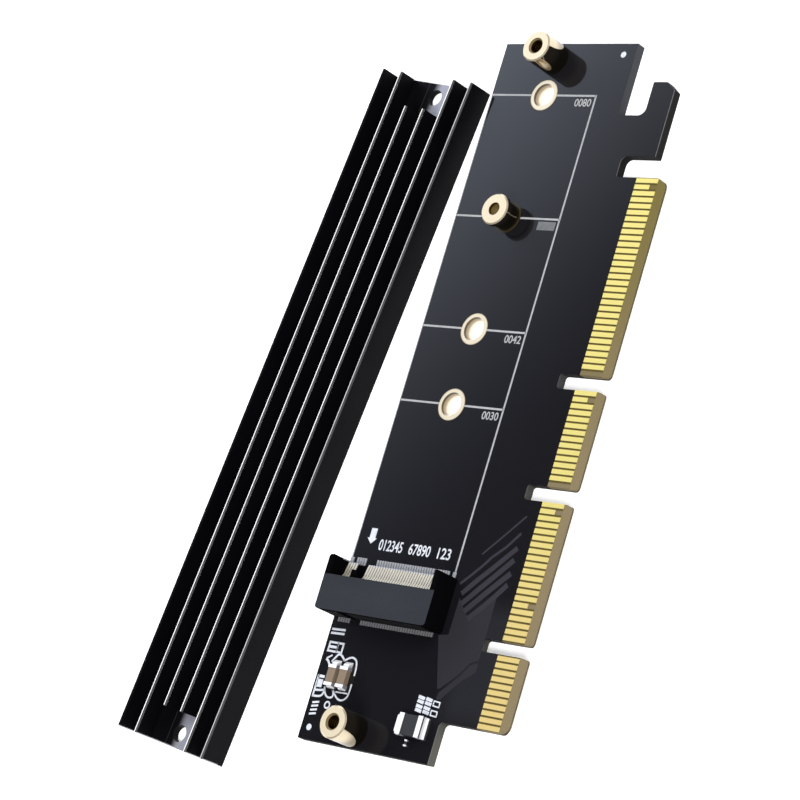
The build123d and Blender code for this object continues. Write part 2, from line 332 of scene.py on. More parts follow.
@dataclass(frozen=True)
class BoardMask:
    """Glossy black solder mask over a woven laminate, which shows bare along the fingers."""

    ink: Colour = (0.0060, 0.0057, 0.0073, 1.0)
    ink_deep: Colour = (0.0048, 0.0046, 0.0060, 1.0)
    # painted sheen: the ink is painted a little paler over this stretch by the shoulder of the tab
    painted_sheen: Colour = (0.0145, 0.0147, 0.0175, 1.0)
    sheen_start: Span = (-15.0, -9.0)
    sheen_end: Span = (3.0, 8.0)
    sheen_depth: Span = (10.0, 15.0)
    tab_near: float = -11.95
    tab_far: float = 71.95
    slack: float = 0.01
    bare_depth: float = 5.0
    laminate: Colour = (0.185, 0.148, 0.086, 1.0)
    laminate_deep: Colour = (0.150, 0.118, 0.066, 1.0)
    laminate_far: Colour = (0.128, 0.103, 0.036, 1.0)
    far_tone_from: float = 20.0
    channel: Colour = (0.082, 0.063, 0.018, 1.0)
    channel_start: float = 0.95
    finger_pitch: float = 1.0
    finger_half: float = 0.33
    # painted light and shade on the cut edges: a tone for each way an edge faces, darker to the far end and
    # on the hook, and a painted highlight along the upper lip
    cut_across: Colour = (0.074, 0.072, 0.063, 1.0)
    cut_far: Colour = (0.042, 0.044, 0.049, 1.0)
    lip_highlight: Colour = (0.115, 0.118, 0.116, 1.0)
    cut_along: Colour = (0.0085, 0.008, 0.008, 1.0)
    cut_hook: Colour = (0.010, 0.0095, 0.009, 1.0)
    low_shade: Colour = (0.030, 0.022, 0.012, 1.0)
    low_shade_rise: Span = (0.5, 0.85)
    hook_side: float = 9.6
    lip: float = 1.5
    steepest_face: float = 0.3
    cloud_mm: float = 14.0
    grain_mm: float = 0.35
    thread_mm: float = 0.3

    def make(self, name: str) -> Material:
        """Builds the material.

        Args:
            name: its name.

        Returns:
            The material.
        """
        recipe = Recipe.named(name)
        x, y, _ = recipe.axes()
        side = recipe.axes("Normal")[2].size() < self.steepest_face
        grain = recipe.noise(self.grain_mm, 4.0)
        on_tab = x.within_mm(self.tab_near - self.slack, self.tab_far + self.slack)
        pale_part = y.before_mm(self.bare_depth) * on_tab
        covered = recipe.blend(side, self._face(recipe), self._edge(recipe))
        colour = recipe.blend(pale_part, covered, self._weave(recipe, side, grain))
        return recipe.finish(colour, 0.42 + side * 0.2 + grain * 0.15, Normal=recipe.bump(grain, 0.003),
                             Specular_IOR_Level=0.05, Coat_Weight=(1 - pale_part) * (1 - side),
                             Coat_Roughness=0.06, Coat_IOR=1.6)

    def _face(self, recipe: Recipe) -> Socket:
        """The ink on the board's faces, with a painted sheen that makes it a little paler by the shoulder
        of the tab.

        Args:
            recipe: the material's recipe.

        Returns:
            The colour's socket.
        """
        x, y, _ = recipe.axes()
        ink = recipe.blend(recipe.noise(self.cloud_mm, 2.0), self.ink_deep, self.ink)
        # painted sheen: paler ink where the sheen falls by the tab's shoulder
        along = x.rise_mm(*self.sheen_start) * (1 - x.rise_mm(*self.sheen_end))
        return recipe.blend(along * (1 - y.rise_mm(*self.sheen_depth)), ink, self.painted_sheen)

    def _edge(self, recipe: Recipe) -> Socket:
        """The cut edges, painted by the way they face: near black along the card, paler across it, darker
        towards the far end and on the hook, with a painted highlight on their upper lip.

        Args:
            recipe: the material's recipe.

        Returns:
            The colour's socket.
        """
        x, y, z = recipe.axes()
        on_hook = x.past_mm(self.tab_far) * y.before_mm(self.hook_side)
        far = x.rise_mm(0, self.tab_far)
        # painted shade: the paler edges darken towards the far end and are near black on the hook
        wall = recipe.blend(on_hook, recipe.blend(far, self.cut_across, self.cut_far), self.cut_hook)
        # painted highlight along the upper lip of the cut edges
        lip = z.past_mm(self.lip) * (1 - far * (1 - on_hook))
        across = recipe.blend(lip, wall, self.lip_highlight)
        return recipe.blend(recipe.axes("Normal")[1].size(), self.cut_along, across)

    def _weave(self, recipe: Recipe, side: Wire, grain: Wire) -> Socket:
        """The bare laminate along the fingers, with painted shade at the foot of its cut edges.

        Args:
            recipe: the material's recipe.
            side: 1 on the cut edges.
            grain: the fine noise of the surface.

        Returns:
            The colour's socket.
        """
        x, y, z = recipe.axes()
        threads = recipe.noise(self.thread_mm, 2.0, (1.0, 0.08, 1.0))
        off_gap = (x.wrapped(self.finger_pitch * MM).size() - 0.5 * self.finger_pitch * MM).size()
        between = y.past_mm(self.channel_start) * (1 - side) * off_gap.past_mm(self.finger_half)
        fibre = recipe.blend(grain * 0.6 + threads * 0.4, self.laminate_deep, self.laminate)
        # the laminate turns darker and more olive towards the far end
        far_toned = recipe.blend(x.rise_mm(self.far_tone_from, self.tab_far), fibre, self.laminate_far)
        # painted shade: the cut edges darken towards their foot
        shaded = recipe.blend(side * (1 - z.rise_mm(*self.low_shade_rise)), far_toned, self.low_shade)
        return recipe.blend(between, shaded, self.channel)


@dataclass(frozen=True)
class Speckled:
    """A matt surface with a fine speckle, such as fired ceramic, or ink that is thin in places."""

    tone: Colour
    shade: Colour
    gloss: float = 0.5
    speckle_mm: float = 0.5
    detail: float = 4.0
    shade_until: float = 0.3
    tone_from: float = 0.62

    def make(self, name: str) -> Material:
        """Builds the material.

        Args:
            name: its name.

        Returns:
            The material.
        """
        recipe = Recipe.named(name)
        speckle = recipe.noise(self.speckle_mm, self.detail)
        colour = recipe.ramp(speckle, [(self.shade_until, self.shade), (self.tone_from, self.tone)])
        return recipe.finish(colour, self.gloss + speckle * 0.2, Normal=recipe.bump(speckle, 0.006))


@dataclass(frozen=True)
class GoldPlate:
    """Hard gold on the edge contacts, with fine wipe marks along the way they slide."""

    lemon: Colour = (0.95, 0.81, 0.24, 1.0)
    warm: Colour = (1.0, 0.74, 0.29, 1.0)
    drift: Span = (-12.0, 30.0)
    wipe_mm: float = 0.12
    patch_mm: float = 2.5

    def make(self) -> Material:
        """Builds the material.

        Returns:
            The material.
        """
        recipe = Recipe.named("finger_gold")
        wipe = recipe.noise(self.wipe_mm, 3.0, (1.0, 0.04, 1.0))
        patch = recipe.noise(self.patch_mm, 2.0)
        drift = recipe.axes()[0].rise_mm(*self.drift) * 0.75 + patch * 0.25
        colour = recipe.blend(drift, self.warm, self.lemon)
        normal = recipe.bump(wipe, 0.0012)
        return recipe.finish(colour, 0.30 + wipe * 0.15, Metallic=0.62, Normal=normal)


@dataclass(frozen=True)
class Well:
    """A round hollow in a turned part: its middle, its radius and its upper limit."""

    middle: Place
    radius: float
    limit: float

    def inside(self, recipe: Recipe) -> Wire:
        """1 in the hollow, 0 elsewhere."""
        within = recipe.reach(self.middle).before_mm(self.radius)
        return within * recipe.axes()[2].before_mm(self.limit)


@dataclass(frozen=True)
class TurnedBrass:
    """Plated brass off a lathe: mirror-bright round its sides, satin on its turned faces; the sides are
    painted darker than the faces as shade, and darker still towards the foot.
    """

    well: Well
    tone: Colour = (0.80, 0.70, 0.51, 1.0)
    shade: Colour = (0.75, 0.64, 0.44, 1.0)
    wall: Colour = (0.54, 0.46, 0.33, 1.0)
    foot_shade: Colour = (0.20, 0.17, 0.12, 1.0)
    foot_shade_rise: Span = (3.0, 5.2)
    side_gloss: float = 0.05
    face_gloss: float = 0.34
    # painted shade in the bore, with painted glints in stripes at the thread's pitch
    well_shade: Colour = (0.17, 0.12, 0.04, 1.0)
    thread_glint: Colour = (0.55, 0.42, 0.20, 1.0)
    thread_pitch: float = 0.5
    thread_crest: Span = (0.12, 0.2)
    grain_mm: float = 0.1
    patch_mm: float = 1.6

    def make(self, name: str) -> Material:
        """Builds the material.

        Args:
            name: its name.

        Returns:
            The material.
        """
        recipe = Recipe.named(name)
        z = recipe.axes()[2]
        facing = recipe.axes("Normal")[2].rise(*FACING)
        patch = recipe.noise(self.patch_mm, 3.0)
        inside = self.well.inside(recipe)
        # painted glints on the thread's crests over painted shade in the bore
        turn = z.wrapped(self.thread_pitch * MM) - 0.5 * self.thread_pitch * MM
        crest_glint = turn.size().rise_mm(*self.thread_crest)
        shaded_well = recipe.blend(crest_glint * (1 - facing), self.well_shade, self.thread_glint)
        face = recipe.blend(patch, self.shade, self.tone)
        # painted shade: the sides take a darker tone than the faces, deepening towards the foot
        wall = recipe.blend(z.rise_mm(*self.foot_shade_rise), self.foot_shade, self.wall)
        outer = recipe.blend(facing, wall, face)
        colour = recipe.blend(inside, outer, shaded_well)
        roughness = self.side_gloss + facing * (self.face_gloss - self.side_gloss) + patch * facing * 0.08
        normal = recipe.bump(recipe.noise(self.grain_mm, 3.0) * facing, 0.0012)
        return recipe.finish(colour, roughness + inside * 0.25, Metallic=1 - facing * 0.6, Normal=normal)


@dataclass(frozen=True)
class PlatedHole:
    """A plated hole and its pad: a pale rounded pad with painted shade round its outer edge, a painted
    shadow in its mouth and down one side of the barrel, and a tan barrel with painted light from the floor
    at its foot.
    """

    middle: Place
    pad: Colour = (0.84, 0.74, 0.55, 1.0)
    rim_shade: Colour = (0.60, 0.48, 0.31, 1.0)
    mouth_shadow: Colour = (0.10, 0.075, 0.035, 1.0)
    barrel: Colour = (0.34, 0.27, 0.17, 1.0)
    foot: Colour = (0.92, 0.82, 0.68, 1.0)
    rim_shade_from: Span = (2.28, 2.5)
    mouth_edge: Span = (1.86, 1.95)
    throat: Span = (1.3, 1.45)
    bounce_rise: Span = (0.2, 1.1)
    shadow_edge: Span = (-0.6, 0.6)
    grain_mm: float = 0.15
    patch_mm: float = 1.2

    def make(self, name: str) -> Material:
        """Builds the material.

        Args:
            name: its name.

        Returns:
            The material.
        """
        recipe = Recipe.named(name)
        z = recipe.axes()[2]
        off_x, off_y = recipe.offset(self.middle)
        reach = recipe.reach(self.middle)
        facing = recipe.axes("Normal")[2].size().rise(*FACING)
        shadow = (off_y + off_x * 0.4).rise_mm(*self.shadow_edge)
        # painted shade round the pad's rounded outer edge
        pad = recipe.blend(reach.rise_mm(*self.rim_shade_from), self.pad, self.rim_shade)
        # painted shadow on one side of the mouth and the top of the barrel
        lipped = recipe.blend((1 - reach.rise_mm(*self.mouth_edge)) * shadow, pad, self.mouth_shadow)
        # painted light: the barrel is painted pale at its foot, where light from the floor falls
        barrel = recipe.blend(z.rise_mm(*self.bounce_rise), self.foot, self.barrel)
        wall = recipe.blend(z.rise_mm(*self.throat) * shadow, barrel, self.mouth_shadow)
        colour = recipe.blend(facing, wall, lipped)
        roughness = 0.34 + recipe.noise(self.patch_mm, 3.0) * 0.1
        normal = recipe.bump(recipe.noise(self.grain_mm, 3.0), 0.002)
        return recipe.finish(colour, roughness, Metallic=0.55, Normal=normal)


@dataclass(frozen=True)
class Moulding:
    """Dark glass-filled plastic: a soft sheen on the bar, partly from its coat and partly a painted sheen
    on its upper faces, and painted shade in near black on its sides, ends and arms.
    """

    dark: Colour = (0.0215, 0.0235, 0.0285, 1.0)
    light: Colour = (0.029, 0.031, 0.037, 1.0)
    # painted shade: near black for the bar's sides, the ends and the arms
    black: Colour = (0.0022, 0.0022, 0.0027, 1.0)
    bar_front: float = 5.85
    grain_mm: float = 0.16
    flow_mm: float = 5.0

    def make(self) -> Material:
        """Builds the material.

        Returns:
            The material.
        """
        recipe = Recipe.named("socket_plastic")
        grain = recipe.noise(self.grain_mm, 4.0)
        flow = recipe.noise(self.flow_mm, 2.0, (1.0, 0.25, 1.0))
        open_face = recipe.ramp(flow * 0.5 + grain * 0.5, [(0.35, self.dark), (0.65, self.light)])
        # painted sheen on the bar's upper faces; every other face is painted near black as shade
        lit_bar = recipe.axes("Normal")[2].rise(0.5, 0.8) * recipe.axes()[0].before_mm(self.bar_front)
        colour = recipe.blend(lit_bar, self.black, open_face)
        return recipe.finish(colour, 0.45 + grain * 0.16, Normal=recipe.bump(grain, 0.005),
                             Specular_IOR_Level=0.0, Coat_Weight=lit_bar * 0.3, Coat_Roughness=0.4,
                             Coat_IOR=1.35)


@dataclass(frozen=True)
class SpringStrip:
    """Plated spring contacts: pale gold where they touch, greyer at their tails, painted near black as
    shade up the rear.
    """

    touch: Colour = (0.56, 0.51, 0.42, 1.0)
    touch_worn: Colour = (0.47, 0.43, 0.35, 1.0)
    rear_tail: Colour = (0.25, 0.25, 0.26, 1.0)
    front_tail: Colour = (0.44, 0.44, 0.46, 1.0)
    leg_shade: Colour = (0.012, 0.012, 0.013, 1.0)
    foot_height: float = 1.95
    rear_end: float = 1.6
    front_end: Span = (8.3, 8.5)
    grain_mm: float = 0.2
    wear_mm: float = 1.5

    def make(self) -> Material:
        """Builds the material.

        Returns:
            The material.
        """
        recipe = Recipe.named("contact_strip")
        x, _, z = recipe.axes()
        grain = recipe.noise(self.grain_mm, 4.0)
        touch = recipe.blend(recipe.noise(self.wear_mm, 2.0), self.touch_worn, self.touch)
        with_front = recipe.blend(x.rise_mm(*self.front_end), touch, self.front_tail)
        # painted shade: the contacts' legs up the rear are painted near black and matt
        at_rear = x.before_mm(self.rear_end)
        shaded_leg = at_rear * z.past_mm(self.foot_height)
        colour = recipe.blend(shaded_leg, recipe.blend(at_rear, with_front, self.rear_tail), self.leg_shade)
        return recipe.finish(colour, 0.32 + grain * 0.15 + shaded_leg * 0.5, Metallic=(1 - shaded_leg) * 0.45,
                             Normal=recipe.bump(grain, 0.003), Specular_IOR_Level=0.2)


@dataclass(frozen=True)
class Plated:
    """A bright plated metal, such as tin on a part's ends or the solder round them, its upright faces
    painted in a tone of their own as light or shade, with an optional painted shade line along them.
    """

    name: str
    tone: Colour = (0.92, 0.92, 0.94, 1.0)
    shade: Colour = (0.84, 0.84, 0.87, 1.0)
    wall: Colour = (0.22, 0.22, 0.23, 1.0)
    edge_shade: Optional[Span] = None
    edge_shade_tone: Colour = (0.02, 0.02, 0.02, 1.0)
    grain_mm: float = 0.25

    def make(self) -> Material:
        """Builds the material.

        Returns:
            The material.
        """
        recipe = Recipe.named(self.name)
        grain = recipe.noise(self.grain_mm, 4.0)
        open_face = recipe.blend(recipe.noise(self.grain_mm * 6, 2.0), self.shade, self.tone)
        # painted light and shade: upright faces take the wall tone, dark on tin as shade, pale on the fuse
        # caps as lit
        upright = 1 - recipe.axes("Normal")[2].rise(0.05, 0.5)
        colour = recipe.blend(upright, open_face, self.wall)
        if self.edge_shade:
            # painted shade line along the upright faces just under their top edge
            band = recipe.axes()[2].within_mm(*self.edge_shade) * upright
            colour = recipe.blend(band, colour, self.edge_shade_tone)
        return recipe.finish(colour, 0.30 + grain * 0.2, Metallic=0.25, Normal=recipe.bump(grain, 0.004))


@dataclass(frozen=True)
class Anodised:
    """Black anodised aluminium with drawn lines along the fins, a painted sheen on the fin tops, a painted
    highlight along one top edge of each fin and along the end edges, and a painted reflection on the pocket
    floor.
    """

    turn: float = -6.65
    corner: Place = (-24.77, 52.56)
    length: float = 111.0
    pocket: float = 5.45
    fin_pitch: float = 3.855
    fin_thickness: float = 0.6
    fin_count: int = 6
    base: float = 1.2
    height: float = 4.6
    # painted sheen on the fin tops and a painted highlight line along one top edge of each fin, dimmer on
    # the first
    top_skin: float = 0.125
    bright_width: float = 0.27
    first_dimmer: float = 0.45
    lit_until: Span = (2.35, 2.85)
    scar_width: float = 0.1
    end_width: float = 0.14
    black: Colour = (0.0014, 0.0013, 0.0018, 1.0)
    soft_black: Colour = (0.0036, 0.0035, 0.0046, 1.0)
    top_sheen: Colour = (0.052, 0.052, 0.054, 1.0)
    scar: Colour = (0.022, 0.022, 0.024, 1.0)
    edge_glint: Colour = (0.30, 0.30, 0.31, 1.0)
    pale_part: Colour = (0.90, 0.90, 0.89, 1.0)
    floor_sheen: Colour = (0.36, 0.36, 0.41, 1.0)
    grain_mm: float = 0.16
    cloud_mm: float = 9.0

    def make(self) -> Material:
        """Builds the material on the extrusion's own axes, turned back from how it lies.

        Returns:
            The material.
        """
        recipe = Recipe.named("black_anodised")
        turned = recipe.node("ShaderNodeMapping", {"vector_type": "TEXTURE"}, {
            "Vector": recipe.place.outputs["Object"],
            "Location": (self.corner[0] * MM, self.corner[1] * MM, 0),
            "Rotation": (0, 0, math.radians(self.turn)),
        }).outputs[0]
        along, across, up = recipe.parts(turned)
        drawn = recipe.noise(self.grain_mm, 3.0, (0.02, 1.0, 1.0), turned)
        phase = across.wrapped(self.fin_pitch * MM)
        end_zone = along.before_mm(self.pocket) + along.past_mm(self.length - self.pocket)
        floor = end_zone * up.within_mm(self.base - 0.1, self.base + 0.05)
        # painted reflection: a pale, partly metallic patch on the pocket floor that fades across it
        lit = 1 - across.rise_mm(*(pitches * self.fin_pitch for pitches in self.lit_until))
        sheen_spot = floor * lit * across.past_mm(self.fin_pitch + self.fin_thickness)
        scars = floor * phase.within_mm(self.fin_thickness - self.scar_width, self.fin_thickness)
        # painted highlight along the end edges
        ends = along.before_mm(self.end_width) * up.past_mm(self.base - 0.12)
        # painted sheen on the fin tops, then a painted highlight line along one edge of each
        tops = up.past_mm(self.height - self.top_skin)
        tops *= across.before_mm((self.fin_count - 1.5) * self.fin_pitch)
        line = tops * phase.past_mm(self.fin_thickness - self.bright_width)
        line *= 1 - across.before_mm(self.fin_pitch) * self.first_dimmer
        colour = recipe.blend(recipe.noise(self.cloud_mm, 2.0), self.black, self.soft_black)
        for mask, tone in ((scars, self.scar), (ends, self.edge_glint), (tops, self.top_sheen),
                           (line, self.pale_part), (sheen_spot, self.floor_sheen)):
            colour = recipe.blend(mask, colour, tone)
        return recipe.finish(colour, 0.36 + drawn * 0.14, Metallic=sheen_spot * 0.5,
                             Normal=recipe.bump(drawn, 0.002), Specular_IOR_Level=0.045)


class Finishes:
    """Every finish of the object that several pieces share."""

    def __init__(self) -> None:
        """Makes each finish once."""
        self.mask = BoardMask().make("board_mask")
        self.copper_mask = BoardMask((0.0225, 0.0225, 0.0270, 1), (0.0195, 0.0195, 0.0235, 1),
                                     painted_sheen=(0.0225, 0.0225, 0.0270, 1)).make("copper_mask")
        self.trace_mask = BoardMask((0.0310, 0.0305, 0.0380, 1), (0.0270, 0.0265, 0.0330, 1),
                                    painted_sheen=(0.0290, 0.0285, 0.0350, 1)).make("trace_mask")
        self.ink = Speckled((0.60, 0.62, 0.67, 1), (0.46, 0.48, 0.53, 1)).make("print_ink")
        self.line_ink = Speckled(grey(0.36, -0.02), grey(0.29, -0.02)).make("print_ink_thin")
        self.dull_ink = Speckled(grey(0.145, -0.04), grey(0.115, -0.04)).make("print_ink_dull")
        self.gold = GoldPlate().make()
        self.plastic = Moulding().make()
        self.strip = SpringStrip().make()
        self.tin = Plated("tinned_metal").make()
        # the fuse caps' upright faces are painted pale as lit, with a painted shade line at their top edge
        self.fuse_tin = Plated("tinned_fuse", wall=grey(0.70, -0.03), edge_shade=(2.38, 2.7)).make()
        fired = {"speckle_mm": 0.12, "detail": 5.0, "shade_until": 0.35}
        self.brown = Speckled((0.205, 0.155, 0.105, 1), (0.165, 0.122, 0.082, 1), 0.42,
                              **fired).make("brown_ceramic")
        self.dark = Speckled((0.024, 0.025, 0.027, 1), (0.016, 0.017, 0.019, 1), 0.36,
                             **fired).make("dark_ceramic")
        self.anodised = Anodised().make()


class Sheet:
    """Thin raised marks on one flat face: bars, strokes, discs and numerals."""

    def __init__(self, level: float, thickness: float) -> None:
        """Starts an empty sheet of marks.

        Args:
            level: height of the face that the marks lie on, in millimetres.
            thickness: how far they stand up.
        """
        self.level = level
        self.thickness = thickness
        self.work = bmesh.new()

    def bar(self, near: Place, far: Place, width: float) -> None:
        """Lays a straight bar between two places.

        Args:
            near: one end.
            far: the other end.
            width: the bar's width.
        """
        run = Vector((far[0] - near[0], far[1] - near[1], 0))
        height = self.level + self.thickness / 2
        middle = Vector(((near[0] + far[0]) / 2, (near[1] + far[1]) / 2, height))
        turn = Matrix.Rotation(math.atan2(run.y, run.x), 4, "Z")
        size = Matrix.Diagonal((run.length, width, self.thickness, 1))
        bmesh.ops.create_cube(self.work, size=1, matrix=Matrix.Translation(middle) @ turn @ size)

    def disc(self, middle: Place, diameter: float) -> None:
        """Lays a round spot of a given diameter."""
        place = Matrix.Translation((*middle, self.level + self.thickness / 2))
        bmesh.ops.create_cone(self.work, cap_ends=True, segments=ROUND_SIDES, radius1=diameter / 2,
                              radius2=diameter / 2, depth=self.thickness, matrix=place)

    def stroke(self, points: Sequence[Place], width: float, closed: bool = False,
               smooth: bool = False) -> None:
        """Lays a stroke of even width along a line of points.

        Args:
            points: the line, in millimetres.
            width: the stroke's width.
            closed: whether it runs back to its start.
            smooth: whether it is a curve from the first point to the last.
        """
        curve = bpy.data.curves.new("stroke", "CURVE")
        curve.dimensions = "3D"
        curve.bevel_depth = width / 2
        curve.bevel_resolution = 1
        curve.use_fill_caps = True
        curve.resolution_u = 6
        self._run(curve, points, closed, smooth)
        self._take(curve, Matrix.Diagonal((1, 1, 2 * self.thickness / width, 1)))

    def area(self, points: Sequence[Place]) -> None:
        """Lays a filled area.

        Args:
            points: its corners, in millimetres.
        """
        curve = bpy.data.curves.new("area", "CURVE")
        curve.dimensions = "2D"
        curve.fill_mode = "BOTH"
        curve.extrude = 0.5
        self._run(curve, points, True)
        self._take(curve, Matrix.Diagonal((1, 1, self.thickness, 1)))

    @staticmethod
    def _run(curve: bpy.types.Curve, points: Sequence[Place], closed: bool, smooth: bool = False) -> None:
        """Gives a curve its run of points.

        Args:
            curve: the curve.
            points: the run, in millimetres.
            closed: whether it runs back to its start.
            smooth: whether it is a curve from the first point to the last.
        """
        line = curve.splines.new("NURBS" if smooth else "POLY")
        line.points.add(len(points) - 1)
        for point, (x, y) in zip(line.points, points):
            point.co = (x, y, 0, 1)
        line.use_cyclic_u = closed
        if smooth:
            line.order_u = 3
            line.use_endpoint_u = True

    def band(self, points: Sequence[Place], width: float) -> None:
        """Lays a flat band along a nearly straight run of points.

        Args:
            points: the band's middle line, in millimetres.
            width: the band's width.
        """
        run = Vector(points[-1]) - Vector(points[0])
        off = Vector((-run.y, run.x)).normalized() * width / 2
        near = [(x + off.x, y + off.y) for x, y in points]
        far = [(x - off.x, y - off.y) for x, y in reversed(points)]
        self.area(near + far)

    def numerals(self, text: str, start: Place, end: Place, height: float) -> None:
        """Lays a row of numerals that fills the room between two places.

        Args:
            text: the numerals.
            start: where the row starts, on its foot line.
            end: where the row ends, on its foot line.
            height: the numerals' height.
        """
        letters = bpy.data.curves.new("numerals", "FONT")
        letters.body = text
        letters.offset = 0.012
        letters.extrude = 0.5
        holder = add_to_scene("numerals", letters)
        bpy.context.view_layer.update()
        low, high = Vector(holder.bound_box[0]), Vector(holder.bound_box[6])
        bpy.data.objects.remove(holder)
        run = Vector((end[0] - start[0], end[1] - start[1]))
        wide, tall = run.length / (high.x - low.x), height / (high.y - low.y)
        size = Matrix.Diagonal((wide, tall, self.thickness, 1))
        turn = Matrix.Rotation(math.atan2(run.y, run.x), 4, "Z")
        place = Matrix.Translation((*start, 0))
        self._take(letters, place @ turn @ size @ Matrix.Translation((-low.x, -low.y, 0)))

    def _take(self, curve: bpy.types.Curve, place: Matrix) -> None:
        """Turns a curve into mesh and adds it to the sheet.

        Args:
            curve: the curve, in millimetres.
            place: where it goes.
        """
        holder = add_to_scene("marks", curve)
        graph = bpy.context.evaluated_depsgraph_get()
        mesh = bpy.data.meshes.new_from_object(holder.evaluated_get(graph))
        bpy.data.objects.remove(holder)
        mesh.transform(Matrix.Translation((0, 0, self.level + self.thickness / 2)) @ place)
        self.work.from_mesh(mesh)
        bpy.data.meshes.remove(mesh)

    def finish(self, name: str, material: Material, slot: Slot = Slot.MASK) -> None:
        """Closes the sheet and makes it a piece of the object."""
        bmesh.ops.remove_doubles(self.work, verts=self.work.verts, dist=0.0005)
        settle(self.work, name, material)


